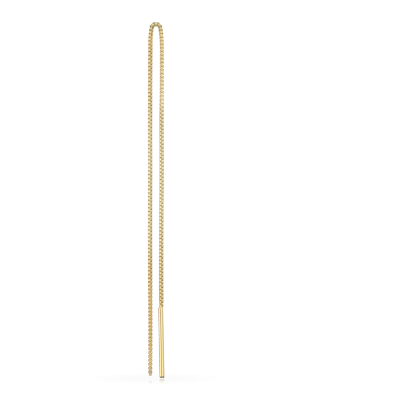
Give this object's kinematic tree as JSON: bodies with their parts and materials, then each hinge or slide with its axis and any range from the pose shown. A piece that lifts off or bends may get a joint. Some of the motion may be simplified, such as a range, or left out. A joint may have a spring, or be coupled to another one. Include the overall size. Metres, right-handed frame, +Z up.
{
  "type": "threader earring",
  "caption": "Threader earring: a fine box chain that hangs looped through a piercing, with a plain polished bar soldered on one end.",
  "frame": {"origin": "underside of the chain at the top of its loop, where the earring hangs in a piercing", "axes": "+Z up, +X from the free strand towards the strand with the bar, +Y away from the viewer"},
  "size_m": [0.0032, 0.001, 0.0676],
  "materials": {
    "chain_gold": "bright pale gold plating on fine box chain",
    "bar_gold": "mirror-polished pale gold plating with fine drawing lines"
  },
  "bodies": {
    "chain": {"box_chain": "chain_gold", "free_link_1": "chain_gold", "free_link_2": "chain_gold", "drop_link_1": "chain_gold", "drop_link_2": "chain_gold"},
    "bar": {"bar": "bar_gold"}
  },
  "joints": [
    {"name": "bar_swing", "type": "hinge", "parent": "chain", "child": "bar", "pos_m": [0.00102, 0, -0.05303], "axis": [-0.7071, 0.7071, 0], "range_deg": [-12, 12]}
  ]
}
